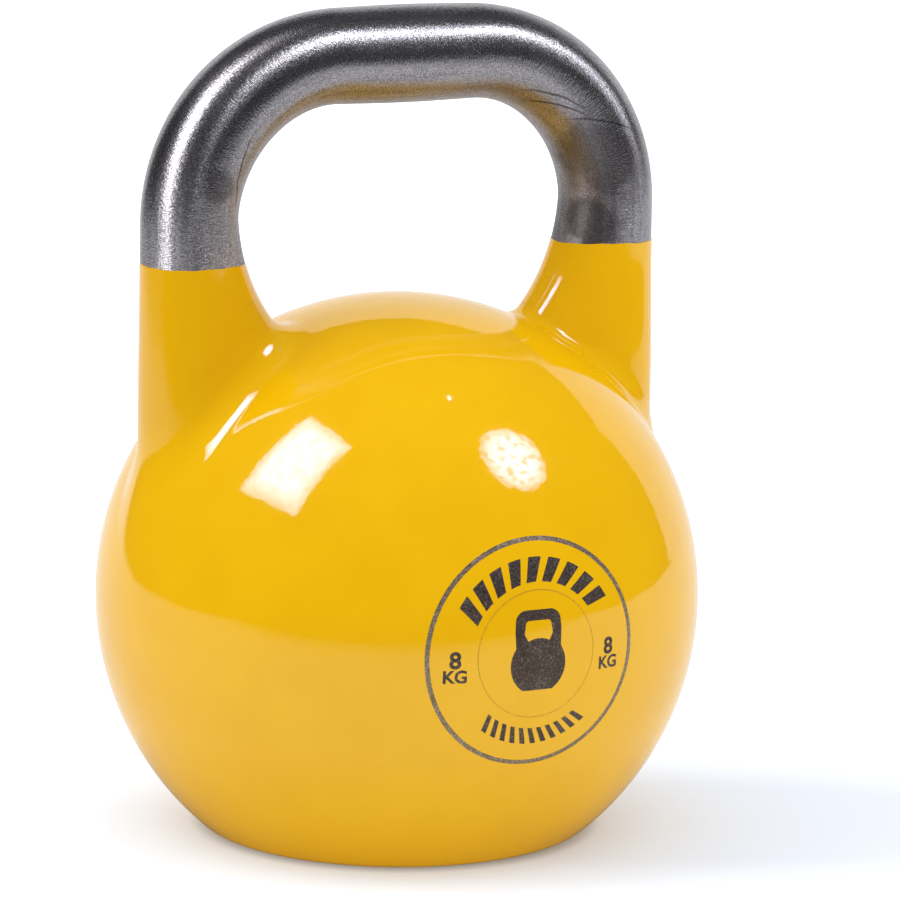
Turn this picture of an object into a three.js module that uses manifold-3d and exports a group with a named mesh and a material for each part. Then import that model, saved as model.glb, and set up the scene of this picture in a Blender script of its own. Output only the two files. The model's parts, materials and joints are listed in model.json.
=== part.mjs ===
// Competition kettlebell, 8 kg: a hollow steel ball on a flat base, two painted horns
// and a bare steel handle bar, with a calibration port in the base.
// Units are millimetres, +Z is up. The origin is the centre of the base, on the floor.
// +X runs along the handle and -Y is the side that carries the weight mark.

import * as THREE from 'three';
import { mergeVertices } from 'three/addons/utils/BufferGeometryUtils.js';
import Module from 'manifold-3d';

// Driving dimensions

const gap = 0.3; // between pieces that are welded, pressed or screwed together

const ballRadius = 105;
const ballCentreZ = 81.5;
const wall = 4.47; // of the ball, brings the whole bell to 8 kg
const baseEdgeRound = 10;
const baseWall = 6;
const dishRadius = 44; // shallow hollow in the base, so that the bell stands on a ring
const dishDepth = 2.5;

const gripRadius = 16.5;
const gripCentreZ = 270;
const legX = 80; // centre of each leg
const bendRadius = 55; // of the grip's centreline
const paintLineZ = 201.8; // bare steel above, enamel below

const flareStartZ = 221.5; // below this each leg widens towards the hand window
const flareRadius = 66;
const flareEndZ = 171.5; // inside the ball
const hornFootHalfDepth = 19;
const hornFootZ = 110; // inside the ball
const tenonRadius = 9; // on each horn's foot, through the ball's wall
const tenonTilt = 46.7; // degrees above the horizontal
const tenonReach = 4; // past the wall, inside the ball

const dowelRadius = 7;
const dowelLength = 38;

const ringHalfHeight = 9; // backing ring behind the ball's equator weld
const ringThickness = 3;

const portRadius = 20; // hole in the base for the boss
const bossFlangeRadius = 27;
const bossFlangeHeight = 5.2;
const threadRadius = 12.3;
const counterboreRadius = 16.2;
const counterboreTopZ = 6.7;
const plugFaceZ = 3.2; // stays clear of the floor
const plugHeadTopZ = 4.9;
const plugTopZ = 17;
const spannerHoleRadius = 2.2;
const spannerHoleX = 8;
const spannerHoleDepth = 3.6;
const sealRadius = 0.75;
const studRadius = 5;
const studStartZ = 7.8;
const studTopZ = 62;
const trimRadius = 12;
const trimHeight = 11;
const trimCount = 3;
const nutAcrossFlats = 17;
const nutHeight = 8;

const roundSegments = 48;
const smallSegments = 32;
const barSegments = 28;

// Materials

const enamel = new THREE.MeshStandardMaterial({ color: 0xf0ac10, roughness: 0.18, metalness: 0 });
const bareSteel = new THREE.MeshStandardMaterial({ color: 0x77777b, roughness: 0.38, metalness: 1 });
const plainSteel = new THREE.MeshStandardMaterial({ color: 0x85858a, roughness: 0.5, metalness: 1 });
const zincSteel = new THREE.MeshStandardMaterial({ color: 0xa6a8ac, roughness: 0.35, metalness: 1 });
const blackRubber = new THREE.MeshStandardMaterial({ color: 0x151515, roughness: 0.8, metalness: 0 });

// Solids

const wasm = await Module();
wasm.setup();

function solidOf(geometry) {
  const bare = geometry.clone();
  bare.deleteAttribute('normal');
  bare.deleteAttribute('uv');
  const merged = mergeVertices(bare, 1e-4);
  const corners = merged.index.array;
  const kept = [];
  for (let i = 0; i < corners.length; i += 3) {
    const [a, b, c] = corners.slice(i, i + 3);
    if (a !== b && b !== c && c !== a) kept.push(a, b, c); // leaves out triangles that close to a line
  }
  return new wasm.Manifold(new wasm.Mesh({
    numProp: 3,
    vertProperties: new Float32Array(merged.attributes.position.array),
    triVerts: new Uint32Array(kept),
  }));
}

function geometryOf(solid) {
  const { vertProperties, triVerts } = solid.getMesh();
  const geometry = new THREE.BufferGeometry();
  geometry.setAttribute('position', new THREE.BufferAttribute(vertProperties, 3));
  geometry.setIndex(new THREE.BufferAttribute(triVerts, 1));
  geometry.computeVertexNormals();
  return geometry;
}

// Turned solid: the profile's [radius, height] points go anticlockwise.
function turned(profile, segments = smallSegments) {
  const points = profile.map(([radius, height]) => new THREE.Vector2(radius, height));
  return solidOf(new THREE.LatheGeometry(points, segments).rotateX(Math.PI / 2));
}

function uprightCylinder(radius, bottomZ, topZ, x = 0) {
  const height = topZ - bottomZ;
  const geometry = new THREE.CylinderGeometry(radius, radius, height, smallSegments);
  return solidOf(geometry.rotateX(Math.PI / 2).translate(x, 0, (bottomZ + topZ) / 2));
}

// Points of an arc in a turned profile, from one angle to another in degrees.
function arc(centreR, centreZ, radius, fromAngle, toAngle, steps) {
  return Array.from({ length: steps + 1 }, (_, i) => {
    const angle = THREE.MathUtils.degToRad(THREE.MathUtils.lerp(fromAngle, toAngle, i / steps));
    return [centreR + radius * Math.cos(angle), centreZ + radius * Math.sin(angle)];
  });
}

// Closed skin over a row of rings with equal numbers of points.
function loft(rings) {
  const count = rings[0].length;
  const centres = [rings[0], rings.at(-1)].map((ring) => {
    const sum = ring.reduce((total, point) => total.add(point), new THREE.Vector3());
    return sum.divideScalar(count);
  });
  const points = [...rings.flat(), ...centres];
  const startCentre = points.length - 2;
  const endCentre = points.length - 1;
  const lastRing = (rings.length - 1) * count;
  const index = [];
  for (let k = 0; k < count; k += 1) {
    const next = (k + 1) % count;
    for (let ring = 0; ring < lastRing; ring += count) {
      index.push(ring + k, ring + next, ring + count + k);
      index.push(ring + next, ring + count + next, ring + count + k);
    }
    index.push(startCentre, next, k);
    index.push(endCentre, lastRing + k, lastRing + next);
  }
  const geometry = new THREE.BufferGeometry().setFromPoints(points);
  geometry.setIndex(index);
  return solidOf(geometry);
}

// Leg and bar sections

// How far a leg has widened towards the hand window at a height.
function flareAt(z) {
  const drop = THREE.MathUtils.clamp(flareStartZ - z, 0, flareStartZ - flareEndZ);
  return flareRadius - Math.sqrt(flareRadius ** 2 - drop ** 2);
}

// Ring round a centre: 'outward' points away from the hand window, and the window side is wider.
function ringAt(centre, outward, innerRadius, halfDepth) {
  return Array.from({ length: barSegments }, (_, i) => {
    const angle = (2 * Math.PI * i) / barSegments;
    const reach = Math.cos(angle) > 0 ? gripRadius : innerRadius;
    return centre.clone()
      .addScaledVector(outward, reach * Math.cos(angle))
      .add(new THREE.Vector3(0, halfDepth * Math.sin(angle), 0));
  });
}

// Ball

const innerRadius = ballRadius - wall;

function upperShell() {
  const outside = arc(0, ballCentreZ, ballRadius, 0, 90, 14);
  const inside = arc(0, ballCentreZ, innerRadius, 90, 0, 12);
  const raised = [...outside, ...inside].map(([radius, z]) => [radius, z + gap / 2]);
  let shell = turned([...raised, raised[0]], roundSegments);
  for (const side of [-1, 1]) shell = shell.subtract(tenon(side, tenonRadius + gap, ballRadius + 20));
  return shell;
}

function lowerShell() {
  const roundR = Math.sqrt((ballRadius - baseEdgeRound) ** 2 - (ballCentreZ - baseEdgeRound) ** 2);
  const meetAngle = THREE.MathUtils.radToDeg(Math.atan2(baseEdgeRound - ballCentreZ, roundR));
  const floorZ = dishDepth + baseWall;
  const floorAngle = THREE.MathUtils.radToDeg(Math.asin((floorZ - ballCentreZ) / innerRadius));
  const seamAngle = THREE.MathUtils.radToDeg(Math.asin(-gap / 2 / ballRadius));
  const profile = [
    [portRadius, dishDepth],
    [dishRadius - dishDepth, dishDepth],
    [dishRadius, 0],
    ...arc(roundR, baseEdgeRound, baseEdgeRound, -90, meetAngle, 4),
    ...arc(0, ballCentreZ, ballRadius, meetAngle, seamAngle, 10).slice(1),
    ...arc(0, ballCentreZ, innerRadius, seamAngle, floorAngle, 10),
    [portRadius, floorZ],
    [portRadius, dishDepth],
  ];
  return turned(profile, roundSegments);
}

function seamBackingRing() {
  const outside = Math.sqrt(innerRadius ** 2 - ringHalfHeight ** 2) - gap;
  const inside = outside - ringThickness;
  const bottom = ballCentreZ - ringHalfHeight;
  const top = ballCentreZ + ringHalfHeight;
  return turned([[inside, bottom], [outside, bottom], [outside, top], [inside, top], [inside, bottom]],
    roundSegments);
}

// Horns and handle

// Round stub along the ball's radius through the middle of a horn's foot.
function tenon(side, radius, farEnd) {
  const nearEnd = innerRadius - tenonReach;
  const direction = new THREE.Vector3(side, 0, 0)
    .applyAxisAngle(new THREE.Vector3(0, -side, 0), THREE.MathUtils.degToRad(tenonTilt));
  const turn = new THREE.Quaternion().setFromUnitVectors(new THREE.Vector3(0, 1, 0), direction);
  const middle = direction.multiplyScalar((nearEnd + farEnd) / 2);
  const geometry = new THREE.CylinderGeometry(radius, radius, farEnd - nearEnd, smallSegments)
    .applyQuaternion(turn)
    .translate(middle.x, middle.y, middle.z + ballCentreZ);
  return solidOf(geometry);
}

function horn(side) {
  const topZ = paintLineZ - gap / 2;
  const heights = [hornFootZ, 140, flareEndZ, 175, 179, 183, 187, 191, 195, topZ];
  const rings = heights.map((z) => {
    const rise = THREE.MathUtils.smoothstep(z, flareEndZ - 20, paintLineZ);
    const halfDepth = THREE.MathUtils.lerp(hornFootHalfDepth, gripRadius, rise);
    const outward = new THREE.Vector3(1, 0, 0);
    return ringAt(new THREE.Vector3(legX, 0, z), outward, gripRadius + flareAt(z), halfDepth);
  });
  const seat = solidOf(new THREE.SphereGeometry(ballRadius + gap + 0.1, 72, 48).rotateX(Math.PI / 2)
    .translate(0, 0, ballCentreZ));
  const socket = uprightCylinder(dowelRadius + gap, paintLineZ - dowelLength / 2 - 1, topZ + 1, legX);
  const right = loft(rings).subtract(seat).add(tenon(1, tenonRadius, ballRadius + 12)).subtract(socket);
  return side > 0 ? right : right.mirror([1, 0, 0]);
}

function handleBar() {
  const bendCentreX = legX - bendRadius;
  const bendCentreZ = gripCentreZ - bendRadius;
  const bottomZ = paintLineZ + gap / 2;
  const stations = [bottomZ, bottomZ + 4, bottomZ + 8].map((z) => [legX, z, 0]);
  for (let angle = 0; angle <= 90; angle += 7.5) {
    const turn = THREE.MathUtils.degToRad(angle);
    stations.push([bendCentreX + bendRadius * Math.cos(turn), bendCentreZ + bendRadius * Math.sin(turn), turn]);
  }
  const rightHalf = stations.map(([x, z, turn]) => {
    const outward = new THREE.Vector3(Math.cos(turn), 0, Math.sin(turn));
    return ringAt(new THREE.Vector3(x, 0, z), outward, gripRadius + flareAt(z), gripRadius);
  });
  const leftHalf = rightHalf.map((ring) => ring.map((point) => new THREE.Vector3(-point.x, point.y, point.z)));
  const bar = loft([...rightHalf, ...leftHalf.reverse()]);
  const sockets = [-1, 1].map((side) => uprightCylinder(
    dowelRadius + gap, bottomZ - 1, paintLineZ + dowelLength / 2 + 1, side * legX));
  return sockets.reduce((solid, socket) => solid.subtract(socket), bar);
}

function handleDowel(side) {
  return uprightCylinder(dowelRadius, paintLineZ - dowelLength / 2, paintLineZ + dowelLength / 2, side * legX);
}

// Calibration port in the base

function portBoss() {
  const bottomZ = dishDepth + 0.4;
  const flangeZ = dishDepth + baseWall + gap;
  const topZ = flangeZ + bossFlangeHeight;
  return turned([
    [counterboreRadius, bottomZ],
    [portRadius - gap, bottomZ],
    [portRadius - gap, flangeZ],
    [bossFlangeRadius, flangeZ],
    [bossFlangeRadius, topZ - 1],
    [bossFlangeRadius - 1, topZ],
    [threadRadius, topZ],
    [threadRadius, counterboreTopZ],
    [counterboreRadius, counterboreTopZ],
    [counterboreRadius, bottomZ],
  ]);
}

function portPlug() {
  const body = turned([
    [0, plugFaceZ],
    [counterboreRadius - gap - 0.6, plugFaceZ],
    [counterboreRadius - gap, plugFaceZ + 0.6],
    [counterboreRadius - gap, plugHeadTopZ],
    [threadRadius - gap, plugHeadTopZ],
    [threadRadius - gap, plugTopZ],
    [studRadius + gap, plugTopZ],
    [studRadius + gap, studStartZ - gap],
    [0, studStartZ - gap],
  ]);
  return [-1, 1].reduce((solid, side) => solid.subtract(uprightCylinder(
    spannerHoleRadius, plugFaceZ - 1, plugFaceZ + spannerHoleDepth, side * spannerHoleX)), body);
}

function plugSeal() {
  const centreR = (threadRadius + counterboreRadius) / 2;
  const centreZ = (plugHeadTopZ + counterboreTopZ) / 2;
  return solidOf(new THREE.TorusGeometry(centreR, sealRadius, 10, roundSegments).translate(0, 0, centreZ));
}

function trimStud() {
  return turned([
    [0, studStartZ],
    [studRadius, studStartZ],
    [studRadius, studTopZ - 1],
    [studRadius - 1, studTopZ],
    [0, studTopZ],
  ]);
}

function trimWeight(number) {
  const bottomZ = plugTopZ + gap + number * (trimHeight + gap);
  const topZ = bottomZ + trimHeight;
  const bore = studRadius + gap;
  return turned([
    [bore, bottomZ],
    [trimRadius - 0.8, bottomZ],
    [trimRadius, bottomZ + 0.8],
    [trimRadius, topZ - 0.8],
    [trimRadius - 0.8, topZ],
    [bore, topZ],
    [bore, bottomZ],
  ]);
}

function trimNut() {
  const bottomZ = plugTopZ + gap + trimCount * (trimHeight + gap);
  const cornerRadius = nutAcrossFlats / 2 / Math.cos(Math.PI / 6);
  const hexagon = new THREE.CylinderGeometry(cornerRadius, cornerRadius, nutHeight, 6)
    .rotateX(Math.PI / 2)
    .translate(0, 0, bottomZ + nutHeight / 2);
  return solidOf(hexagon).subtract(uprightCylinder(studRadius + gap, bottomZ - 1, bottomZ + nutHeight + 1));
}

// Assembly

const kettlebell = new THREE.Group();

function place(name, solid, material) {
  const mesh = new THREE.Mesh(geometryOf(solid), material);
  mesh.name = name;
  kettlebell.add(mesh);
}

place('upper_shell', upperShell(), enamel);
place('lower_shell', lowerShell(), enamel);
place('seam_backing_ring', seamBackingRing(), plainSteel);
for (const [label, side] of [['left', -1], ['right', 1]]) {
  place(`horn_${label}`, horn(side), enamel);
  place(`handle_dowel_${label}`, handleDowel(side), plainSteel);
}
place('handle_bar', handleBar(), bareSteel);
place('port_boss', portBoss(), plainSteel);
place('port_plug', portPlug(), zincSteel);
place('plug_seal', plugSeal(), blackRubber);
place('trim_stud', trimStud(), zincSteel);
for (let number = 0; number < trimCount; number += 1) {
  place(`trim_weight_${number + 1}`, trimWeight(number), plainSteel);
}
place('trim_nut', trimNut(), zincSteel);

export default kettlebell;
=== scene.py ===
import json
import math
import bmesh
import bpy
import numpy as np
from mathutils import Matrix, Vector

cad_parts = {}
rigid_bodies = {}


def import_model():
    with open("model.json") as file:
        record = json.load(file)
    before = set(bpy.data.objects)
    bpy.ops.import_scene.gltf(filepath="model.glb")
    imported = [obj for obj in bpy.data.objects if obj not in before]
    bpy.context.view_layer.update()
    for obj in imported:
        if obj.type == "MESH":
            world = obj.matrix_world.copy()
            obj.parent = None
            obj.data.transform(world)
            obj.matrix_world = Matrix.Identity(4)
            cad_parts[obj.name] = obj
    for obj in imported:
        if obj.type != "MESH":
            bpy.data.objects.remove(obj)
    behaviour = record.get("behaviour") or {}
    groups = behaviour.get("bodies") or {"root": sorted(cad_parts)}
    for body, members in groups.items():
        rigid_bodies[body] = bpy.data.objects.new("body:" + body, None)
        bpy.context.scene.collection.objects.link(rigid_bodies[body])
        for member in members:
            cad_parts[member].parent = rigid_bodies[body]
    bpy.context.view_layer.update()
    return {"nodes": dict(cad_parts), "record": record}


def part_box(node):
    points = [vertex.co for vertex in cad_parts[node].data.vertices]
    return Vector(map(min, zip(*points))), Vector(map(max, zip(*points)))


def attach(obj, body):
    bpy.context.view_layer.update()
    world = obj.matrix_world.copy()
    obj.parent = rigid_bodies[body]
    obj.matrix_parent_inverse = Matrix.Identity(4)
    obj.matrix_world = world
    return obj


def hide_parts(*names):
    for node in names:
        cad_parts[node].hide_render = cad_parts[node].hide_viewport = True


# 8 kg competition kettlebell: enamelled hollow ball and horns, bare steel handle bar

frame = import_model()
scene = bpy.context.scene
print("frame loaded:", len(frame["nodes"]), "nodes")

upperBox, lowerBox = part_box("upper_shell"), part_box("lower_shell")
barBox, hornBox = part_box("handle_bar"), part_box("horn_right")

shape = {
    "ballRadius": upperBox[1].x,
    "ballCentre": (upperBox[0].z + lowerBox[1].z) / 2,
    "wall": 0.00447,
    "edgeRound": 0.010,        # round edge of the flat base
    "gripRadius": barBox[1].y,
    "legX": barBox[1].x - barBox[1].y,
    "gripHeight": barBox[1].z - barBox[1].y,
    "paintLine": (barBox[0].z + hornBox[1].z) / 2,
    "bendRadius": 0.055,
    "flareRadius": 0.066,      # how the legs widen into the hand window
    "flareAbove": 0.0197,      # where that starts and ends, from the paint line
    "flareBelow": 0.0303,
    "footDepth": 0.019,        # half the depth of a horn where it meets the ball
    "footBelow": 0.050,
    "fillet": 0.008,           # between horn and ball
    "tightFillet": 0.0042,     # on the window side of the right horn
    "tightFacing": (0.2, 0.9),  # how squarely the skin faces the window, where that starts and is full
    "enamel": 0.00022,         # how far the enamel stands above the bare steel
    "dowelHole": 0.0073,
    "dowelDepth": 0.020,
}
ballMiddle = Vector((0, 0, shape["ballCentre"]))
innerRadius = shape["ballRadius"] - shape["wall"]


def smoothStep(value, low, high):
    t = np.clip((value - low) / (high - low), 0, 1)
    return t * t * (3 - 2 * t)


def flareAt(z):  # how far a leg has widened towards the hand window
    start = shape["paintLine"] + shape["flareAbove"]
    drop = np.clip(start - z, 0, shape["flareAbove"] + shape["flareBelow"])
    return shape["flareRadius"] - np.sqrt(shape["flareRadius"] ** 2 - drop ** 2)


def depthAt(z):  # half the depth of a leg, from front to back
    rise = smoothStep(z, shape["paintLine"] - shape["footBelow"], shape["paintLine"])
    return shape["footDepth"] + (shape["gripRadius"] - shape["footDepth"]) * rise


def legRatio(points):  # 0 on a leg's surface
    across = np.abs(points[:, 0]) - shape["legX"]
    reach = shape["gripRadius"] + np.where(across > 0, 0, flareAt(points[:, 2]))
    return np.hypot(across / reach, points[:, 1] / depthAt(points[:, 2])) - 1


def slope(field, points, step=2e-5):
    steps = np.eye(3) * step
    return np.stack([(field(points + s) - field(points - s)) / (2 * step) for s in steps], -1)


def legField(points):  # distance from a leg's enamel
    steepness = np.linalg.norm(slope(legRatio, points), axis=1)
    return legRatio(points) / np.maximum(steepness, 1) - shape["enamel"]


def ballField(points):  # distance from the ball with its flat base
    edge = shape["edgeRound"]
    radius = shape["ballRadius"] - edge
    drop = shape["ballCentre"] - edge
    flatRadius = math.sqrt(radius ** 2 - drop ** 2)
    out = np.hypot(points[:, 0], points[:, 1])
    up = points[:, 2] - shape["ballCentre"]
    away = np.hypot(out, up)
    toCorner = np.hypot(out - flatRadius, up + drop)
    toFlat = np.where(out <= flatRadius, -drop - up, toCorner)
    return np.where(up * radius >= -drop * away, away - radius, toFlat) - edge


def skinField(points):  # both joined with a round fillet
    leg = legField(points)
    ball = ballField(points)
    inward = (shape["legX"] - points[:, 0]) / np.hypot(points[:, 0] - shape["legX"], points[:, 1])
    tight = np.where(points[:, 0] > 0, smoothStep(inward, *shape["tightFacing"]), 0)
    r = shape["fillet"] + (shape["tightFillet"] - shape["fillet"]) * tight
    return np.maximum(r, np.minimum(leg, ball)) - np.hypot(np.maximum(r - leg, 0), np.maximum(r - ball, 0))


def settle(points, rounds=8):  # moves points onto the skin
    for _ in range(rounds):
        g = slope(skinField, points)
        points = points - g * (skinField(points) / np.maximum((g * g).sum(1), 1e-9))[:, None]
    return points


def places(mesh):  # the vertices as an array
    co = np.empty(len(mesh.vertices) * 3)
    mesh.vertices.foreach_get("co", co)
    return co.reshape(-1, 3)


def addPiece(name, source):  # source is a bmesh, or vertices and faces
    mesh = bpy.data.meshes.new(name)
    if isinstance(source, bmesh.types.BMesh):
        source.to_mesh(mesh)
        source.free()
    else:
        mesh.from_pydata([tuple(v) for v in source[0]], [], source[1])
    piece = bpy.data.objects.new(name, mesh)
    scene.collection.objects.link(piece)
    return piece


def faceOutward(bm):
    bmesh.ops.recalc_face_normals(bm, faces=bm.faces)
    if bm.calc_volume(signed=True) < 0:
        bmesh.ops.reverse_faces(bm, faces=bm.faces)


skinMesh = {
    "voxel": 0.0016,
    "ballDivisions": 6,
    "legRings": 40,
    "legSides": 72,
    "legFoot": 0.030,          # where a rough leg starts inside the ball, above its centre
    "legOver": 0.006,          # how far it runs past the paint line, where the skin is cut
    "evenRounds": 6,
    "evenShare": 0.6,          # how far each point moves towards the middle of its neighbours
    "touching": 2e-5,          # vertices this near the true skin, whose normals agree, take its normals
    "agreeing": 0.85,
}


def smooth(piece, onSkin=False, sharp=35):
    mesh = piece.data
    mesh.polygons.foreach_set("use_smooth", [True] * len(mesh.polygons))
    mesh.set_sharp_from_angle(angle=math.radians(sharp))
    if not onSkin:
        return
    points = places(mesh)
    trueNormals = slope(skinField, points)
    trueNormals /= np.linalg.norm(trueNormals, axis=1, keepdims=True)
    near = np.abs(skinField(points)) < skinMesh["touching"]
    corners = np.empty(len(mesh.loops), int)
    mesh.loops.foreach_get("vertex_index", corners)
    normals = np.empty(len(mesh.loops) * 3)
    mesh.corner_normals.foreach_get("vector", normals)
    normals = normals.reshape(-1, 3)
    agree = (normals * trueNormals[corners]).sum(1) > skinMesh["agreeing"]
    use = near[corners] & agree
    normals[use] = trueNormals[corners][use]
    mesh.normals_split_custom_set([tuple(n) for n in normals])


def ringOf(centre, outward, reachIn, depth, count):  # one cross-section of a leg or of the grip
    angles = np.arange(count) * 2 * math.pi / count
    reach = np.where(np.cos(angles) > 0, shape["gripRadius"], reachIn) * np.cos(angles)
    return centre + reach[:, None] * outward + (depth * np.sin(angles))[:, None] * np.array([0.0, 1.0, 0.0])


def loft(rings):  # vertices and faces of a closed tube, with a point at each end
    count = len(rings[0])
    verts = np.vstack([*rings, rings[0].mean(0), rings[-1].mean(0)])
    faces = []
    for k in range(count):
        after = (k + 1) % count
        for start in range(0, (len(rings) - 1) * count, count):
            faces.append((start + k, start + after, start + count + after, start + count + k))
        faces.append((len(verts) - 2, after, k))
        last = (len(rings) - 1) * count
        faces.append((len(verts) - 1, last + k, last + after))
    return verts, faces


def roughBody():  # ball and legs pushed through each other, before they are fused
    bm = bmesh.new()
    centre = Matrix.Translation((0, 0, shape["ballCentre"]))
    bmesh.ops.create_icosphere(bm, subdivisions=skinMesh["ballDivisions"], radius=shape["ballRadius"],
                               matrix=centre)
    low, high = shape["ballCentre"] + skinMesh["legFoot"], shape["paintLine"] + skinMesh["legOver"]
    heights = np.linspace(low, high, skinMesh["legRings"])
    for side in (-1, 1):
        out = np.array([side, 0.0, 0.0])
        rings = [ringOf(out * shape["legX"] + [0, 0, z], out, shape["gripRadius"] + flareAt(z), depthAt(z),
                        skinMesh["legSides"]) for z in heights]
        verts, faces = loft(rings)
        corners = [bm.verts.new(v) for v in verts]
        for face in faces:
            bm.faces.new([corners[i] for i in face])
    faceOutward(bm)
    return addPiece("rough_body", bm)


def evenOut(mesh):  # settles the vertices on the skin, evenly spread along it
    points = settle(places(mesh), 4)
    edges = np.empty(len(mesh.edges) * 2, int)
    mesh.edges.foreach_get("vertices", edges)
    first, second = edges.reshape(-1, 2).T
    share = skinMesh["evenShare"]
    for _ in range(skinMesh["evenRounds"]):
        total = np.zeros_like(points)
        count = np.zeros(len(points))
        for a, b in ((first, second), (second, first)):
            np.add.at(total, a, points[b])
            np.add.at(count, a, 1)
        points = settle(points * (1 - share) + total / count[:, None] * share, 2)
    mesh.vertices.foreach_set("co", settle(points).ravel())


def fusedSkin():  # the enamelled skin from the ball's widest line up to the paint lines
    rough = roughBody()
    remesh = rough.modifiers.new("fuse", "REMESH")
    remesh.mode = "VOXEL"
    remesh.voxel_size = skinMesh["voxel"]
    fused = bpy.data.meshes.new_from_object(rough.evaluated_get(bpy.context.evaluated_depsgraph_get()))
    bpy.data.objects.remove(rough)
    evenOut(fused)
    bm = bmesh.new()
    bm.from_mesh(fused)
    bpy.data.meshes.remove(fused)
    for height, keepAbove in ((shape["ballCentre"], True), (shape["paintLine"], False)):
        bmesh.ops.bisect_plane(bm, geom=[*bm.verts, *bm.edges, *bm.faces], dist=1e-6,
                               plane_co=(0, 0, height), plane_no=(0, 0, 1),
                               clear_inner=keepAbove, clear_outer=not keepAbove)
    return bm


def splitAtFoot(bm):  # new edges where leg and ball are equally near, along the middle of the fillet
    points = np.array([v.co for v in bm.verts])
    balance = legField(points) - ballField(points)
    bm.verts.index_update()
    crossings = []
    for edge in bm.edges[:]:
        a, b = (balance[v.index] for v in edge.verts)
        if a * b < 0:
            crossings.append((edge, edge.verts[0], a / (a - b)))
    cut = [bmesh.utils.edge_split(edge, vert, share)[1] for edge, vert, share in crossings]
    bmesh.ops.connect_verts(bm, verts=cut)
    onSkin = settle(np.array([v.co for v in cut]))
    for vert, place in zip(cut, onSkin):
        vert.co = place


def openEdges(bm, wanted):
    return [e for e in bm.edges if e.is_boundary and wanted((e.verts[0].co + e.verts[1].co) / 2)]


def capInward(bm, edges, moves):  # pulls an open edge loop along, then closes it on its centre
    for move in moves:
        made = bmesh.ops.extrude_edge_only(bm, edges=edges)["geom"]
        edges = [g for g in made if isinstance(g, bmesh.types.BMEdge)]
        for vert in (g for g in made if isinstance(g, bmesh.types.BMVert)):
            vert.co = move(vert.co)
    made = bmesh.ops.extrude_edge_only(bm, edges=edges)["geom"]
    verts = [g for g in made if isinstance(g, bmesh.types.BMVert)]
    middle = sum((v.co for v in verts), Vector()) / len(verts)
    bmesh.ops.pointmerge(bm, verts=verts, merge_co=middle)


lip = {                        # the enamel's edge at the paint line
    "wave": (0.00018, 3),      # it isn't quite straight: the height of its waves, and how many
    "ripple": (0.00010, 11),
    "edge": ((0.00006, 0.00016), (0.00020, 0.00008)),  # steps inward and up that round it
    "near": 0.001,             # how far from the paint line an open edge still belongs to it
}


def partOf(skin, keep):
    part = skin.copy()
    part.faces.ensure_lookup_table()
    bmesh.ops.delete(part, geom=[part.faces[i] for i in np.flatnonzero(~keep)], context="FACES")
    return part


def hornPiece(name, side, skin, keep):
    horn = partOf(skin, keep)
    axis = Vector((side * shape["legX"], 0, 0))
    line = shape["paintLine"] - lip["near"]
    top = openEdges(horn, lambda middle: middle.z > line)
    foot = openEdges(horn, lambda middle: middle.z < line)
    (wave, waves), (ripple, ripples) = lip["wave"], lip["ripple"]
    for vert in {v for e in top for v in e.verts}:
        turn = math.atan2(vert.co.y, vert.co.x - axis.x)
        vert.co.z += wave * math.sin(waves * turn + side) + ripple * math.sin(ripples * turn)

    def towardsAxis(co, radius):
        across = Vector((co.x - axis.x, co.y, 0))
        return axis + across * (radius / across.length) + Vector((0, 0, co.z))

    def edgeStep(inward, up):
        return lambda co: towardsAxis(co, (co - axis).xy.length - inward) + Vector((0, 0, up))

    capInward(horn, top, [
        *(edgeStep(*step) for step in lip["edge"]),
        lambda co: towardsAxis(co, shape["dowelHole"]),
        lambda co: co - Vector((0, 0, shape["dowelDepth"])),
    ])
    capInward(horn, foot, [lambda co: ballMiddle + (co - ballMiddle).normalized() * innerRadius])
    faceOutward(horn)
    return addPiece(f"{name}_horn_skin", horn)


def upperHalf(skin, keep):  # the outer skin of the ball, and the same again inside it
    outer = partOf(skin, keep)
    outer.verts.index_update()
    verts = np.array([v.co for v in outer.verts])
    faces = [[v.index for v in f.verts] for f in outer.faces]
    rims = [l for f in outer.faces for l in f.loops if l.edge.is_boundary]
    rims = [(l.vert.index, l.link_loop_next.vert.index) for l in rims]
    outer.free()
    fromCentre = verts - np.array(ballMiddle)
    lengths = np.linalg.norm(fromCentre, axis=1, keepdims=True)
    inner = np.array(ballMiddle) + fromCentre * innerRadius / lengths
    inner[:, 2] = np.where(fromCentre[:, 2] < 1e-6, shape["ballCentre"], inner[:, 2])
    count = len(verts)
    faces += [[i + count for i in reversed(face)] for face in faces]
    faces += [[b, a, a + count, b + count] for a, b in rims]
    return addPiece("ball_upper_half", (np.vstack([verts, inner]), faces))


def enamelledPieces():
    skin = fusedSkin()
    splitAtFoot(skin)
    centres = np.array([f.calc_center_median() for f in skin.faces])
    onLeg = legField(centres) < ballField(centres)
    pieces = {}
    for name, side in (("left", -1), ("right", 1)):
        pieces[name] = hornPiece(name, side, skin, onLeg & (centres[:, 0] * side > 0))
    pieces["upper"] = upperHalf(skin, ~onLeg)
    skin.free()
    for piece in pieces.values():
        smooth(piece, onSkin=True)
    return pieces


def arc(centreR, centreZ, radius, fromAngle, toAngle, steps):  # degrees
    angles = np.radians(np.linspace(fromAngle, toAngle, steps + 1))
    return [(centreR + radius * math.cos(a), centreZ + radius * math.sin(a)) for a in angles]


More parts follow.
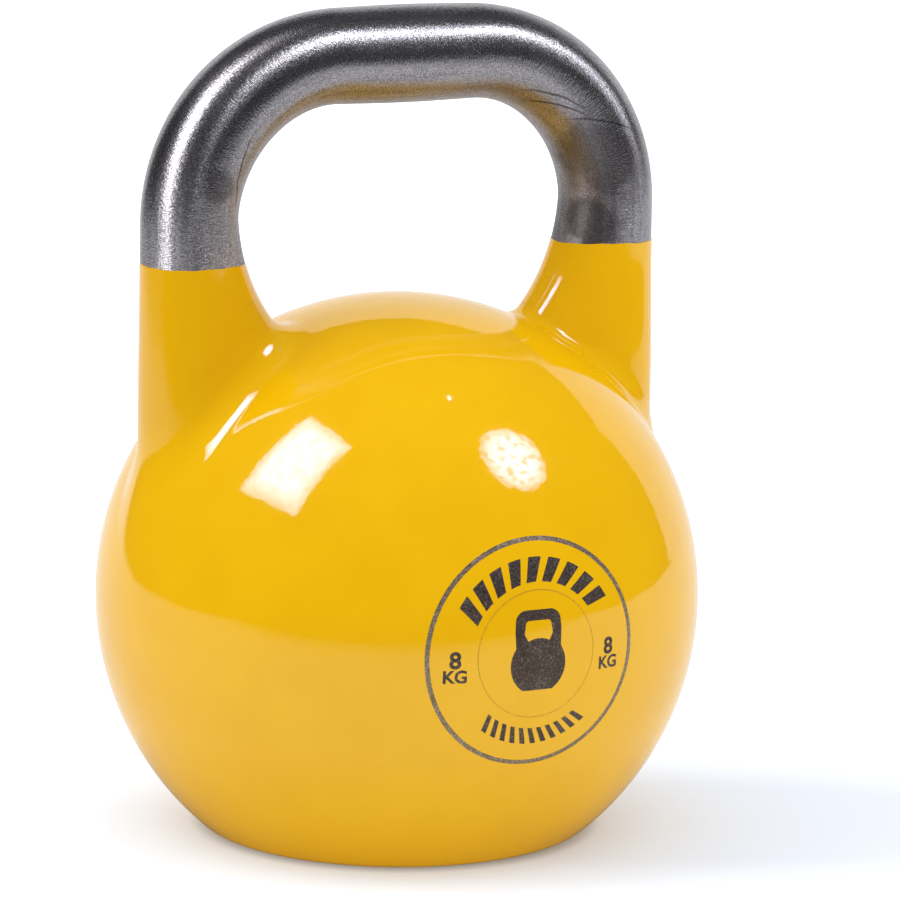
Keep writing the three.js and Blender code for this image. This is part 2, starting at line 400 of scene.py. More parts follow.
def turnedPiece(name, profile, segments):  # profile is a closed loop of radius and height
    angles = np.arange(segments) * 2 * math.pi / segments
    verts = [(r * math.cos(a), r * math.sin(a), z) for r, z in profile for a in angles]
    faces = []
    for row in range(len(profile)):
        here, there = row * segments, (row + 1) % len(profile) * segments
        for k in range(segments):
            after = (k + 1) % segments
            faces.append((here + k, here + after, there + after, there + k))
    piece = addPiece(name, (verts, faces))
    bm = bmesh.new()
    bm.from_mesh(piece.data)
    bmesh.ops.remove_doubles(bm, verts=bm.verts, dist=1e-7)
    faceOutward(bm)
    bm.to_mesh(piece.data)
    bm.free()
    return piece


base = {
    "dishRadius": 0.044,
    "dishDepth": 0.0025,
    "dishRound": 0.0012,
    "portRadius": 0.020,
    "portEdge": 0.0005,
    "wall": 0.006,
    "segments": 288,
}


def lowerHalf():
    edge, radius, centre = shape["edgeRound"], shape["ballRadius"], shape["ballCentre"]
    flatRadius = math.sqrt((radius - edge) ** 2 - (centre - edge) ** 2)
    meet = math.degrees(math.atan2(edge - centre, flatRadius))
    floor = base["dishDepth"] + base["wall"]
    r, dish = base["dishRound"], base["dishRadius"]
    profile = [
        (base["portRadius"], base["dishDepth"] + base["portEdge"]),
        (base["portRadius"] + base["portEdge"], base["dishDepth"]),
        *arc(dish - r, base["dishDepth"] - r, r, 90, 0, 6)[0:4],
        *arc(dish + r, r, r, 180, 270, 6)[3:],
        *arc(flatRadius, edge, edge, -90, meet, 24),
        *arc(0, centre, radius, meet, 0, 90)[1:],
        *arc(0, centre, innerRadius, 0, math.degrees(math.asin((floor - centre) / innerRadius)), 48),
        (base["portRadius"], floor),
    ]
    piece = turnedPiece("ball_lower_half", profile, base["segments"])
    smooth(piece, onSkin=True)
    return piece


grip = {
    "segments": 128,
    "legSteps": 12,
    "bendSteps": 61,
    "topSteps": 18,            # half way along the top
    "lap": 0.0006,             # how far the bar runs down inside the enamel
    "swell": 0.0003,           # fuller in the middle of the grip, thinner in the bends
}


def barStations():  # places along the bar and its turn there, from the right paint line to the left
    bendX = shape["legX"] - shape["bendRadius"]
    bendZ = shape["gripHeight"] - shape["bendRadius"]
    bottom = shape["paintLine"] - grip["lap"]
    stations = [(shape["legX"], z, 0.0) for z in np.linspace(bottom, bendZ, grip["legSteps"])[:-1]]
    for turn in np.linspace(0, math.pi / 2, grip["bendSteps"]):
        stations.append((bendX + shape["bendRadius"] * math.cos(turn),
                         bendZ + shape["bendRadius"] * math.sin(turn), turn))
    stations += [(x, shape["gripHeight"], math.pi / 2) for x in np.linspace(bendX, 0, grip["topSteps"])[1:]]
    return stations + [(-x, z, math.pi - turn) for x, z, turn in reversed(stations[:-1])]


def barRing(x, z, turn):
    outward = np.array([math.cos(turn), 0.0, math.sin(turn)])
    swell = grip["swell"] * math.cos(2 * math.pi * x / shape["legX"]) if abs(x) < shape["legX"] else 0
    fatter = 1 + swell * math.sin(turn) / shape["gripRadius"]
    reach = shape["gripRadius"] + flareAt(z)
    ring = ringOf(np.zeros(3), outward, reach, shape["gripRadius"], grip["segments"])
    return ring * fatter + np.array([x, 0.0, z])


def handleBar():
    stations = barStations()
    rings = [barRing(*station) for station in stations]
    travelled = [0.0]
    for here, before in zip(stations[1:], stations):
        travelled.append(travelled[-1] + math.dist(here[:2], before[:2]))
    for end in (0, -1):  # dowel holes
        centre = np.array([stations[end][0], 0.0, stations[end][1]])
        flat = rings[end] - centre
        mouth = centre + flat * shape["dowelHole"] / np.linalg.norm(flat, axis=1, keepdims=True)
        deep = mouth + np.array([0.0, 0.0, shape["dowelDepth"] + grip["lap"]])
        rings = [deep, mouth, *rings] if end == 0 else [*rings, mouth, deep]
    travelled = [travelled[0]] * 2 + travelled + [travelled[-1]] * 2
    piece = addPiece("bare_handle", loft(rings))
    angles = np.arange(grip["segments"]) * 2 * math.pi / grip["segments"]
    straight = np.array([(s, shape["gripRadius"] * math.cos(a), shape["gripRadius"] * math.sin(a))
                         for s in travelled for a in angles] + [(0, 0, 0), (travelled[-1], 0, 0)])
    place = piece.data.attributes.new("barPlace", "FLOAT_VECTOR", "POINT")
    place.data.foreach_set("vector", straight.ravel())
    fromPaint = piece.data.attributes.new("fromPaint", "FLOAT", "POINT")
    fromPaint.data.foreach_set("value", np.minimum(straight[:, 0], travelled[-1] - straight[:, 0]))
    bm = bmesh.new()
    bm.from_mesh(piece.data)
    faceOutward(bm)
    bm.to_mesh(piece.data)
    bm.free()
    smooth(piece)
    return piece


mark = {                       # in millimetres, on the ball's front
    "ringOuter": 38.7,
    "ringWidth": 1.5,
    "hairline": 21.7,
    "hairlineWidth": 0.28,
    "upperStripes": {"innerR": 24.2, "outerR": 32.2, "fromAngle": 31, "toAngle": 153, "count": 9,
                     "share": 0.62, "lean": -2.6},
    "lowerStripes": {"innerR": 25.6, "outerR": 31.2, "fromAngle": 229, "toAngle": 309, "count": 11,
                     "share": 0.5, "lean": 2.2},
    "figureX": 28.6,
    "figureShift": -0.4,
    "figures": (("8", 7.8, -0.5), ("KG", 5.9, -6.0)),  # words, size and height
    "heavier": 0.03,           # how much bolder the letters are, as a share of their size
    "proud": 0.04,
    "sunk": 0.3,
    "grid": 2.0,
}

pictogram = {                  # a plain kettlebell, 20 mm by 27 mm
    "belly": 10.2,
    "bellyMiddle": (0, -3.4),
    "shoulder": (8.6, 8.4),
    "corner": 4.0,
    "cornerMiddle": (4.4, 11.1),
    "windowCorner": 1.4,
    "windowCornerMiddle": (3.4, 10.2),
    "windowSide": (5.3, 7.2),
    "windowFloor": 9.0,        # round the belly's middle
}


def circle(radius, steps, centre=(0, 0), fromAngle=0, toAngle=360):
    angles = np.radians(np.linspace(fromAngle, toAngle, steps, endpoint=toAngle - fromAngle < 360))
    return [(centre[0] + radius * math.cos(a), centre[1] + radius * math.sin(a)) for a in angles]


def slantedBars(innerR, outerR, fromAngle, toAngle, count, share, lean):
    pitch = (toAngle - fromAngle) / count
    bars = []
    for k in range(count):
        middle = fromAngle + pitch * (k + 0.5)
        half = pitch * share / 2
        outline = circle(innerR, 6, (0, 0), middle - half - lean, middle + half - lean)
        outline += reversed(circle(outerR, 6, (0, 0), middle - half + lean, middle + half + lean))
        bars.append(outline)
    return bars


def bellPictogram():
    belly, middle = pictogram["belly"], pictogram["bellyMiddle"]
    corner, (cornerX, cornerY) = pictogram["corner"], pictogram["cornerMiddle"]
    small, (smallX, smallY) = pictogram["windowCorner"], pictogram["windowCornerMiddle"]
    (shoulderX, shoulderY), (sideX, sideY) = pictogram["shoulder"], pictogram["windowSide"]
    outline = circle(belly, 40, middle, 35, -58) + circle(belly, 40, middle, 238, 145)
    outline += [(-shoulderX, shoulderY)] + circle(corner, 10, (-cornerX, cornerY), 170, 90)
    outline += circle(corner, 10, (cornerX, cornerY), 90, 10) + [(shoulderX, shoulderY)]
    window = circle(small, 8, (-smallX, smallY), 180, 90) + circle(small, 8, (smallX, smallY), 90, 0)
    window += [(sideX, sideY)] + circle(pictogram["windowFloor"], 12, middle, 58, 122)[1:-1]
    return [outline, window + [(-sideX, sideY)]]


def textOutline(words, size, centre):
    curve = bpy.data.curves.new("figures", "FONT")
    curve.body = words
    curve.size = size
    curve.offset = size * mark["heavier"]
    curve.align_x = "CENTER"
    curve.align_y = "CENTER"
    return curve, centre


def wrapOnBall(name, curves):  # flat outlines onto the ball, as thin closed plates
    bm = bmesh.new()
    for curve, centre in curves:
        holder = bpy.data.objects.new("outline", curve)
        scene.collection.objects.link(holder)
        flat = bpy.data.meshes.new_from_object(holder.evaluated_get(bpy.context.evaluated_depsgraph_get()))
        flat.transform(Matrix.Translation((*centre, 0)))
        bm.from_mesh(flat)
        bpy.data.objects.remove(holder)
        bpy.data.meshes.remove(flat)
    bmesh.ops.remove_doubles(bm, verts=bm.verts, dist=1e-4)
    spots = np.array([v.co for v in bm.verts])
    for axis in (0, 1):
        direction = Vector((axis == 0, axis == 1, 0))
        for where in np.arange(spots[:, axis].min() + mark["grid"], spots[:, axis].max(), mark["grid"]):
            bmesh.ops.bisect_plane(bm, geom=[*bm.verts, *bm.edges, *bm.faces], dist=1e-5,
                                   plane_co=direction * float(where), plane_no=direction)
    bmesh.ops.triangulate(bm, faces=bm.faces)
    lower = bmesh.ops.extrude_face_region(bm, geom=bm.faces[:])["geom"]
    sunk = {g for g in lower if isinstance(g, bmesh.types.BMVert)}
    for vert in bm.verts:
        x, z = vert.co.x / 1000, vert.co.y / 1000
        radius = shape["ballRadius"] + (-mark["sunk"] if vert in sunk else mark["proud"]) / 1000
        vert.co = (x, -math.sqrt(radius ** 2 - x * x - z * z), z + shape["ballCentre"])
    faceOutward(bm)
    piece = addPiece(name, bm)
    smooth(piece)
    return piece


def filled(outlines):
    curve = bpy.data.curves.new("outline", "CURVE")
    curve.dimensions = "2D"
    curve.fill_mode = "BOTH"
    for outline in outlines:
        spline = curve.splines.new("POLY")
        spline.points.add(len(outline) - 1)
        for point, (x, z) in zip(spline.points, outline):
            point.co = (x, z, 0, 1)
        spline.use_cyclic_u = True
    return curve, (0, 0)


def weightMark():
    figures = []
    for side in (-1, 1):
        for words, size, height in mark["figures"]:
            figures.append(textOutline(words, size, (side * mark["figureX"] + mark["figureShift"], height)))
    ring = [circle(mark["ringOuter"] - inside, 360) for inside in (0, mark["ringWidth"])]
    hairline = [circle(mark["hairline"] - inside, 300) for inside in (0, mark["hairlineWidth"])]
    return [
        wrapOnBall("mark_ring", [filled(ring)]),
        wrapOnBall("mark_hairline", [filled(hairline)]),
        wrapOnBall("mark_stripes", [filled(slantedBars(**mark["upperStripes"])),
                                    filled(slantedBars(**mark["lowerStripes"]))]),
        wrapOnBall("mark_pictogram", [filled(bellPictogram())]),
        wrapOnBall("mark_figures", figures),
    ]


class Wire:
    def __init__(self, finish, socket):
        self.finish = finish
        self.socket = socket

    def maths(self, operation, *values):
        return self.finish.add("Math", {"operation": operation}, dict(enumerate(values)))

    def __add__(self, other):
        return self.maths("ADD", self, other)

    def __sub__(self, other):
        return self.maths("SUBTRACT", self, other)

    def __rsub__(self, other):
        return self.maths("SUBTRACT", other, self)

    def __mul__(self, other):
        return self.maths("MULTIPLY", self, other)

    def __abs__(self):
        return self.maths("ABSOLUTE", self)

    __radd__ = __add__
    __rmul__ = __mul__


class Finish:
    def __init__(self, name, owner=None, **fixed):
        self.material = owner or bpy.data.materials.new(name)
        self.material.use_nodes = True
        self.tree = self.material.node_tree
        self.shader = self.tree.nodes.get("Principled BSDF")
        self.feed(self.shader, fixed)

    def lead(self, wire, output):  # another output of a node that is there already
        return Wire(self, wire.socket.node.outputs[output])

    def feed(self, node, sockets):
        for key, value in sockets.items():
            socket = node.inputs[key]
            if isinstance(value, Wire):
                self.tree.links.new(value.socket, socket)
            else:
                socket.default_value = value

    def add(self, kind, settings=None, sockets=None, output=0):
        node = self.tree.nodes.new("ShaderNode" + kind)
        for key, value in (settings or {}).items():
            if key == "stops":
                while len(node.color_ramp.elements) < len(value):
                    node.color_ramp.elements.new(1)
                for element, (position, shade) in zip(node.color_ramp.elements, value):
                    element.position = position
                    element.color = shade if isinstance(shade, tuple) else (shade, shade, shade, 1)
            else:
                setattr(node, key, value)
        self.feed(node, sockets or {})
        return Wire(self, node.outputs[output])

    def vector(self, operation, *values, output=0):
        return self.add("VectorMath", {"operation": operation}, dict(enumerate(values)), output)

    def measure(self, operation, *values):  # a number from vectors
        return self.vector(operation, *values, output=1)

    def split(self, place):  # its X, and through lead its Y and Z
        return self.add("SeparateXYZ", {}, {0: place})

    def onPiece(self):  # the place on the piece, in metres
        return self.add("TexCoord", {}, {}, 3)

    def bump(self, strength, distance, height):
        return self.add("Bump", {}, {"Strength": strength, "Distance": distance, "Height": height})

    def noise(self, place, scale, detail=2.0, roughness=0.5):
        sockets = {"Vector": place, "Scale": scale, "Detail": detail, "Roughness": roughness}
        return self.add("TexNoise", {}, sockets)

    def ramp(self, value, *stops):
        return self.add("ValToRGB", {"stops": stops}, {"Fac": value})

    def blend(self, mask, first, second):
        return self.add("Mix", {"data_type": "RGBA"}, {"Factor": mask, 6: first, 7: second}, 2)

    def wear(self, **varying):
        self.feed(self.shader, varying)
        return self.material


enamel = {
    "colour": (0.855, 0.480, 0.003, 1),
    "deep": (0.825, 0.453, 0.002, 1),
    "leftHornShade": (0.755, 0.405, 0.001, 1),   # painted shade: a darker yellow on the left horn, away from the ball
    "broadScale": 38,
    "peelScale": 420,
    "swellScale": 60,
    "roughness": 0.04,
    "uneven": 0.02,
    "peelDepth": 0.000018,
    "swellDepth": 0.00005,
}


def enamelFinish():
    finish = Finish("yellow_enamel", IOR=1.5)
    place = finish.onPiece()
    broad = finish.noise(place, enamel["broadScale"], 2)
    peel = finish.noise(place, enamel["peelScale"], 1)
    swell = finish.noise(place, enamel["swellScale"], 1)
    tone = finish.blend(finish.ramp(broad, (0.35, 0.0), (0.7, 1.0)), enamel["colour"], enamel["deep"])
    # painted shade: the left horn's enamel turns to the darker yellow from about 1.6 to 14 mm off the ball
    fromBall = finish.measure("DISTANCE", place, tuple(ballMiddle)) - shape["ballRadius"]
    onHorn = finish.ramp(fromBall * 50, (0.08, 0.0), (0.7, 1.0))  # from 1.6 to 14 mm off the ball
    toLeft = finish.ramp(0 - finish.split(place), (0.0, 0.0), (0.02, 1.0))
    tone = finish.blend(onHorn * toLeft, tone, enamel["leftHornShade"])
    normal = finish.bump(1.0, 1.0, peel * enamel["peelDepth"] + swell * enamel["swellDepth"])
    gloss = enamel["roughness"] + broad * enamel["uneven"]
    return finish.wear(**{"Base Color": tone, "Roughness": gloss, "Normal": normal})


steel = {
    "dull": (0.135, 0.131, 0.142, 1),
    "bright": (0.45, 0.438, 0.475, 1),
    "roughness": 0.185,
    "windowRougher": 0.20,     # towards the hand window, by clouds and by the paint
    "cloudRougher": 0.10,
    "paintRougher": 0.10,
    "grooves": (2600, 520),    # linishing marks round the bar, deepest by the paint: along and around
    "grooveDepth": 0.00016,
    "streaks": (28, 330),
    "grainScale": 1900,
    "grainDepth": 0.000028,
    "cloudScale": 42,
    "markedFrom": 0.004,       # along the bar from the paint, where the marks are strongest and gone
    "markedTo": 0.042,
    "wanderScale": 140,        # how the scratches stray from a straight line
    "wander": 0.0016,
    "scratch": (0.05, 0.045, 0.05, 1),
    # long scratches: a spot on the bar, and the way across the scratch there
    "scratches": (
        ((0.065, -0.0092, -0.0145), (0.34, 0.940, 0)),
        ((0.068, -0.0070, -0.0155), (0.25, 0.968, 0)),
        ((0.047, -0.0010, -0.0170), (0.70, 0.714, 0)),
        ((0.214, -0.0080, -0.0150), (0.20, 0.980, 0)),
    ),
    "darkPatch": (0.055, 0.048, 0.050, 1),
    # darker patches: a spot on the bar, the size and the strength
    "darkPatches": (
        ((0.008, -0.0120, -0.0120), 0.013, 0.75),
        ((0.034, -0.0070, -0.0155), 0.024, 0.66),
        ((0.222, -0.0020, -0.0172), 0.007, 0.6),
    ),
}


# darkens the bar's colour in a few patches near the paint lines, with cloudy edges
def darkened(finish, tone, place, clouds):
    for spot, size, strength in steel["darkPatches"]:
        reach = finish.measure("DISTANCE", place, spot) * (0.5 / size) + (clouds - 0.5) * 0.8
        tone = finish.blend(finish.ramp(reach, (0.26, strength), (0.48, 0.0)), tone, steel["darkPatch"])
    return tone


def scratched(finish, tone, place):
    wander = (finish.noise(place, steel["wanderScale"], 2) - 0.5) * steel["wander"]
    for spot, across in steel["scratches"]:
        fromSpot = finish.vector("SUBTRACT", place, spot)
        here = finish.ramp(finish.measure("LENGTH", fromSpot) * 10, (0.08, 0.8), (0.17, 0.0))  # 8 to 17 mm
        offLine = finish.measure("DOT_PRODUCT", fromSpot, across)
        line = finish.ramp(abs(offLine + wander) * 100, (0.015, 1.0), (0.05, 0.0))  # 0.15 to 0.5 mm
        tone = finish.blend(here * line, tone, steel["scratch"])
    return tone


def bareSteelFinish():
    finish = Finish("bare_steel", Metallic=1.0)
    place = finish.add("Attribute", {"attribute_name": "barPlace"}, {}, 1)
    fromPaint = finish.add("Attribute", {"attribute_name": "fromPaint"}, {}, 2)

    def stretched(along, around):
        return finish.vector("MULTIPLY", place, (along, around, around))

    grooves = finish.noise(stretched(*steel["grooves"]), 1, 2, 0.6)
    streaks = finish.noise(stretched(*steel["streaks"]), 1, 3, 0.65)
    grain = finish.noise(place, steel["grainScale"], 2, 0.7)
    clouds = finish.noise(place, steel["cloudScale"], 4, 0.6)
    byPaint = finish.ramp(fromPaint, (steel["markedFrom"], 1.0), (steel["markedTo"], 0.0))
    polish = finish.ramp(streaks, (0.36, 0.0), (0.62, 1.0))
    speckle = finish.ramp(grain, (0.39, 0.0), (0.62, 1.0))
    bareness = polish * (0.22 + byPaint * 0.12) + speckle * 0.70 + byPaint * 0.12
    tone = finish.blend(bareness, steel["dull"], steel["bright"])
    tone = scratched(finish, darkened(finish, tone, place, clouds), place)
    outward = finish.lead(finish.split(place), "Y")
    toWindow = finish.ramp((0 - outward) * 40, (0.25, 0.0), (0.62, 1.0))
    rough = steel["roughness"] + toWindow * steel["windowRougher"]
    rough = rough + clouds * steel["cloudRougher"] + byPaint * steel["paintRougher"]
    depth = steel["grooveDepth"] * (0.8 + byPaint * (0.3 + polish * 0.5))
    normal = finish.bump(1.0, 1.0, grooves * depth + grain * steel["grainDepth"])
    return finish.wear(**{"Base Color": tone, "Roughness": rough, "Normal": normal})


def plainSteelFinish(name, low, high, roughness):
    finish = Finish(name, Metallic=1.0)
    place = finish.onPiece()
    squashed = finish.vector("MULTIPLY", place, (1, 1, 14))
    lines = finish.noise(squashed, 220, 3, 0.6)
    spots = finish.noise(place, 160, 4, 0.6)
    tone = finish.blend(spots, low, high)
    normal = finish.bump(0.5, 0.0001, lines)
    return finish.wear(**{"Base Color": tone, "Roughness": roughness + lines * 0.15, "Normal": normal})


def etchedFinish(name, dark, middle, glint):
    finish = Finish(name, Metallic=0.5)
    place = finish.onPiece()
    grain = finish.noise(place, 1500, 2, 0.7)
    patches = finish.noise(place, 130, 3, 0.6)
    tone = finish.ramp(grain * 0.75 + patches * 0.25, (0.38, dark), (0.52, middle), (0.66, glint))
    normal = finish.bump(0.7, 0.0001, grain)
    return finish.wear(**{"Base Color": tone, "Roughness": 0.36 + grain * 0.2, "Normal": normal})


def rubberFinish():
    finish = Finish("seal_rubber")
    place = finish.onPiece()
    grain = finish.noise(place, 900, 3)
    tone = finish.ramp(grain, (0.3, 0.008), (0.8, 0.022))
    return finish.wear(**{"Base Color": tone, "Roughness": 0.6 + grain * 0.3})


def showPiece(piece, material, slotName, *nodes):
    piece.data.materials.clear()
    piece.data.materials.append(material)
    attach(piece, "root")
    if nodes:
        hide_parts(*nodes)


yellow = enamelFinish()
bare = bareSteelFinish()
inked = etchedFinish("dark_mark", (0.044, 0.030, 0.023, 1), (0.078, 0.056, 0.045, 1), (0.21, 0.17, 0.135, 1))
glinting = etchedFinish("ring_mark", (0.12, 0.085, 0.05, 1), (0.26, 0.19, 0.11, 1), (0.55, 0.46, 0.36, 1))
faint = etchedFinish("hairline_mark", (0.50, 0.28, 0.02, 1), (0.66, 0.38, 0.02, 1), (0.8, 0.55, 0.1, 1))
machined = plainSteelFinish("machined_steel", (0.16, 0.16, 0.165, 1), (0.32, 0.32, 0.33, 1), 0.32)
zinc = plainSteelFinish("zinc_plate", (0.36, 0.37, 0.39, 1), (0.52, 0.53, 0.55, 1), 0.22)
rubber = rubberFinish()
print("finishes made")

enamelled = enamelledPieces()
showPiece(enamelled["left"], yellow, "yellow_enamel", "horn_left")
showPiece(enamelled["right"], yellow, "yellow_enamel", "horn_right")
showPiece(enamelled["upper"], yellow, "yellow_enamel", "upper_shell")
showPiece(lowerHalf(), yellow, "yellow_enamel", "lower_shell")
print("enamelled pieces made")
showPiece(handleBar(), bare, "bare_steel", "handle_bar")
print("handle made")
for piece, finish in zip(weightMark(), (glinting, faint, inked, inked, inked)):
    showPiece(piece, finish, "bare_steel")
print("weight mark made")

innerFinishes = {"plain_steel": machined, "zinc_plated_steel": zinc, "seal_rubber": rubber}
for part in frame["record"]["subparts"]:
    node = frame["nodes"][part["node"]]
    if part["material_slot"] in innerFinishes:
        node.data.materials.clear()
        node.data.materials.append(innerFinishes[part["material_slot"]])

view = {
    "distance": 1.75,          # from the ball's centre
    "azimuth": -26.74,
    "elevation": 12.46,
    "heading": 27.338,         # which way it looks, in degrees
    "tilt": 10.832,
    "roll": 0.80,
    "lens": 200.6,
    "sensor": 36,
}


def directionTo(azimuth, elevation):  # azimuth 0 is -Y, degrees
    a, e = math.radians(azimuth), math.radians(elevation)
    return Vector((math.sin(a) * math.cos(e), -math.cos(a) * math.cos(e), math.sin(e)))


cameraData = bpy.data.cameras.new("camera")
cameraData.lens = view["lens"]
cameraData.sensor_width = view["sensor"]
cameraData.clip_end = 100
camera = bpy.data.objects.new("camera", cameraData)
scene.collection.objects.link(camera)
turns = (("Z", -view["heading"]), ("X", 90 - view["tilt"]), ("Z", view["roll"]))
pose = Matrix.Translation(ballMiddle + directionTo(view["azimuth"], view["elevation"]) * view["distance"])
for axis, angle in turns:
    pose = pose @ Matrix.Rotation(math.radians(angle), 4, axis)
camera.matrix_world = pose
scene.camera = camera

dot = {"kind": "DISK", "aimAbove": 0.0, "gleam": 0, "fill": 0, "folds": 0, "colour": (1.0, 1.0, 0.9),
       "echoes": ()}

studio = {                     # echoes: azimuth, elevation and share of the gleam
    "softbox": {
        "kind": "RECTANGLE", "azimuth": -60.9, "elevation": 51.9, "distance": 1.445, "aimAbove": 0.57,
        "size": (0.63, 0.85), "shine": 25, "gleam": 10.5, "fill": 2.4, "fillAzimuth": -74, "folds": 0.25,
        "colour": (1.0, 0.985, 0.96), "echoes": ((-59, 33, 0.85), (-54, 12, 0.95), (-61, 72, 0.25)),
    },
    "umbrella": {
        "kind": "DISK", "azimuth": 70.8, "elevation": 50.2, "distance": 1.8, "aimAbove": 0.0,
        "size": (0.73, 0.73), "shine": 24, "gleam": 12, "fill": 2.45, "fillAzimuth": 79, "folds": 0.7,
        "colour": (1.0, 1.0, 1.0),
        "echoes": ((13, 26, 0.18), (27, 46, 0.42), (48, 54, 0.85), (87, 39, 0.72), (95, 25, 0.42),
                   (95, 12, 0.28)),
    },
    "farLamp": {
        **dot, "azimuth": 95, "elevation": 75.6, "distance": 1.7, "size": (0.035, 0.035), "shine": 40,
    },
    "sideLamp": {
        **dot, "azimuth": 93, "elevation": 40, "distance": 1.9, "size": (0.02, 0.02), "shine": 22,
    },
}

lampSheet = {
    "dimming": ((0.30, 1.0), (0.5, 0.3)),      # from the middle to the edge
    "foldScale": 9,
    "foldEdges": ((0.36, 0.0), (0.50, 1.0)),
    "gap": 0.02,               # between the lamps of one light, one behind the other
    "echoesBehind": 0.1,
}

room = {
    "front": (0.42, 0.90),     # where the white sweep's painted light falls off to dark, from the bell, as the camera sees it
    "left": (1.10, 1.50),
    "right": 1.8,
    "back": 1.6,
    "wall": 1.55,              # height of the backdrop
    "backdrop": (-1.6, 2.2),   # its left and right ends
    "backdropGlow": 0.98,
    "floor": 40,               # the floor that the camera sees
    "white": 0.93,             # the sweep, which only reflections show
    "sweepGlow": 0.10,
    "bounceReach": 4,          # the paper that throws light back up
    "paper": 0.84,
    "bounce": 0.27,
    "gleamNarrow": 0.75,       # how much narrower the lights look in the steel
    "dark": 0.062,             # what gloss reflects of the room, level and overhead
    "ceiling": 0.09,
    "ambient": 0.38,           # what lights the colours, level and overhead
    "overhead": 1.45,
    "floorTint": (0.54, 0.60, 0.71, 1),
    "floorGlow": (0.26, 0.80),         # in the painted shadow by the bell, and away from it
    "glowScale": 0.4,                  # from a distance to the ramp on which the glow rises
    "glowEdges": (0.045, 0.165),
    "shadeMiddle": (0.10, 0.0, 0.0),
    "shadeShape": (1.0, 2.2, 1.0),     # how much quicker it ends in each direction
    "contactShadow": (0.060, 0.072, 0.30),   # painted contact shadow on the floor, from the bell's axis: darkest to there, clear from there, how dark
    "sweepContactShadow": (0.060, 0.135, 0.25),      # the same painted contact shadow on the sweep, which the enamel reflects
}

glossTint = {"shine": (0.62, 0.66, 1.0), "gleam": (0.98, 0.97, 1.0)}
receivers = {use: bpy.data.collections.new(f"{use}_receivers") for use in glossTint}
for piece in scene.objects:
    if piece.type == "MESH":
        receivers["gleam" if piece.name == "bare_handle" else "shine"].objects.link(piece)


def lampPattern(light, facts, use):  # bright in the middle, dimmer at the edge, with soft folds
    pattern = Finish(light.name, light)
    place = pattern.lead(pattern.add("NewGeometry"), "Parametric")
    if facts["kind"] == "DISK":
        fromMiddle = pattern.measure("DISTANCE", place, (0.5, 0.5, 0))
    else:
        across = pattern.split(place)
        fromMiddle = across.maths("MAXIMUM", abs(across - 0.5), abs(pattern.lead(across, "Y") - 0.5))
    folds = pattern.ramp(pattern.noise(place, lampSheet["foldScale"], 2, 0.6), *lampSheet["foldEdges"])
    glow = pattern.ramp(fromMiddle, *lampSheet["dimming"]) * (1 - facts["folds"] + folds * facts["folds"])
    tint = tuple(np.multiply(facts["colour"], glossTint[use])) + (1,)
    pattern.feed(pattern.tree.nodes["Emission"], {"Color": tint, "Strength": glow})


def addLamp(name, facts, use, azimuth, elevation, behind, share):
    way = directionTo(azimuth + view["azimuth"], elevation)
    towards = way * facts["distance"] - Vector((0, 0, facts["aimAbove"]))
    light = bpy.data.lights.new(name, "AREA")
    light.shape = facts["kind"]
    narrow = room["gleamNarrow"] if use == "gleam" else 1
    light.size, light.size_y = (side * narrow for side in facts["size"])
    area = light.size * light.size_y * (math.pi / 4 if facts["kind"] == "DISK" else 1)
    light.energy = facts[use] * share * area * math.pi
    lamp = bpy.data.objects.new(name, light)
    scene.collection.objects.link(lamp)
    spot = ballMiddle + way * (facts["distance"] + behind)
    lamp.matrix_world = Matrix.Translation(spot) @ towards.to_track_quat("Z", "Y").to_matrix().to_4x4()
    lamp.visible_camera = False
    lamp.visible_glossy = use != "fill"
    lamp.visible_diffuse = use == "fill"
    if use == "fill":
        light.color = facts["colour"]
    else:
        lampPattern(light, facts, use)
        lamp.light_linking.receiver_collection = receivers[use]


def addLight(name, facts):
    # what lights the colours, and what the enamel and the steel reflect, one behind the other
    for order, use in enumerate(("fill", "shine", "gleam")):
        if facts[use]:
            azimuth = facts["fillAzimuth"] if use == "fill" else facts["azimuth"]
            addLamp(f"{name}_{use}", facts, use, azimuth, facts["elevation"], lampSheet["gap"] * order, 1)
    # the brushing draws the steel's reflections out along the bar
    for order, (azimuth, elevation, share) in enumerate(facts["echoes"]):
        behind = lampSheet["echoesBehind"] + lampSheet["gap"] * order
        addLamp(f"{name}_echo_{order}", facts, "gleam", azimuth, elevation, behind, share)


for name, facts in studio.items():
    addLight(name, facts)


def stageSheet(name, corners, material, seen):
    sheet = addPiece(name, ([Vector(c) for c in corners], [tuple(range(len(corners)))]))
    sheet.rotation_euler.z = math.radians(view["azimuth"])
    sheet.data.materials.append(material)
    for kind in ("camera", "diffuse", "glossy"):
        setattr(sheet, "visible_" + kind, kind in seen)
    return sheet


def stageFinish(name, colour, glow):
    finish = Finish(name, Roughness=0.9)
    finish.shader.inputs["Specular IOR Level"].default_value = 0.0
    finish.shader.inputs["Emission Strength"].default_value = 1.0
    place = finish.onPiece()
    return finish.wear(**{"Base Color": colour(finish, place), "Emission Color": glow(finish, place)})


def even(level):
    return lambda finish, place: level if isinstance(level, tuple) else (level, level, level, 1)


def paintedContactShadow(finish, place, shade, reach):  # painted contact shadow: dark where the ball nearly touches the floor
    darkest, clear, least = reach
    out = finish.measure("LENGTH", place)
    return finish.blend(finish.ramp(out * 5, (darkest * 5, least), (clear * 5, 1.0)), (0, 0, 0, 1), shade)


def floorGlowAndShadow(finish, place):  # the floor goes to pure white away from the bell; its lower glow near the bell, drawn out to the right, is a painted shadow
    drawnOut = finish.vector("MULTIPLY", place, room["shadeShape"])
    away = finish.measure("DISTANCE", drawnOut, room["shadeMiddle"])
    stops = zip(room["glowEdges"], room["floorGlow"])
    return paintedContactShadow(finish, place, finish.ramp(away * room["glowScale"], *stops), room["contactShadow"])


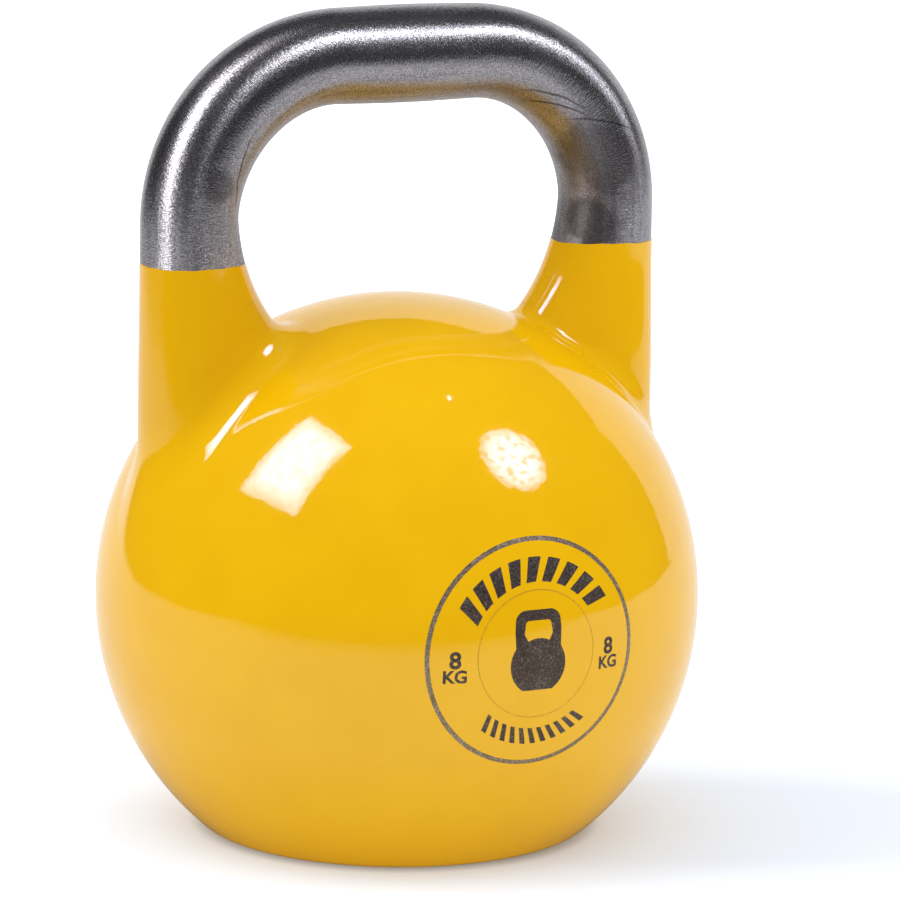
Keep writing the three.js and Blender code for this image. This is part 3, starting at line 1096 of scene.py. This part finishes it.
def tinted(finish, place):
    return paintedContactShadow(finish, place, room["floorTint"], room["contactShadow"])


# painted light falloff: the sweep's colour and glow darken towards its front and left edges
def fading(level):
    def shade(finish, place):
        along = finish.split(place)
        (leftFrom, leftTo), (frontFrom, frontTo) = room["left"], room["front"]
        fadeLeft = finish.ramp((0 - along) * 0.5, (leftFrom / 2, level), (leftTo / 2, 0.0))
        fadeFront = finish.ramp(0 - finish.lead(along, "Y"), (frontFrom, 1.0), (frontTo, 0.0))
        return paintedContactShadow(finish, place, finish.blend(fadeFront, (0, 0, 0, 1), fadeLeft), room["sweepContactShadow"])
    return shade


def flat(left, right, front, back, height=0.0):
    return [(left, front, height), (right, front, height), (right, back, height), (left, back, height)]


wide, near = room["floor"], room["bounceReach"]
wallLeft, wallRight = room["backdrop"]
stageSheet("floor", flat(-wide, wide, -wide, wide),
           stageFinish("white_floor", tinted, floorGlowAndShadow), ("camera",))
stageSheet("bounce", flat(-near, near, -near, near, -0.001),
           stageFinish("bounce_paper", even(room["paper"]), even(room["bounce"])), ("diffuse",))
stageSheet("sweep", flat(-room["left"][1], room["right"], -room["front"][1], room["back"], -0.0005),
           stageFinish("white_paper", fading(room["white"]), fading(room["sweepGlow"])), ("glossy",))
stageSheet("backdrop", [(wallLeft, room["back"], 0), (wallRight, room["back"], 0),
                        (wallRight, room["back"], room["wall"]), (wallLeft, room["back"], room["wall"])],
           stageFinish("white_backdrop", even(0.0), even(room["backdropGlow"])), ("diffuse", "glossy"))

world = bpy.data.worlds.new("studio")
world.use_nodes = True
scene.world = world
air = Finish(world.name, world)
path = air.add("LightPath")
height = air.add("SeparateXYZ", {}, {0: air.add("TexCoord")}, 2)
ceiling = air.ramp(height, (0.45, room["dark"]), (1.0, room["ceiling"]))
daylight = air.ramp(air.lead(height, "Z"), (0.0, room["ambient"]), (1.0, room["overhead"]))
seen = air.blend(air.lead(path, "Is Glossy Ray"), daylight, ceiling)
seen = air.blend(air.lead(path, "Is Camera Ray"), seen, (1, 1, 1, 1))
air.feed(air.tree.nodes["Background"], {"Color": seen})
scene.view_settings.view_transform = "Standard"
print("studio set")
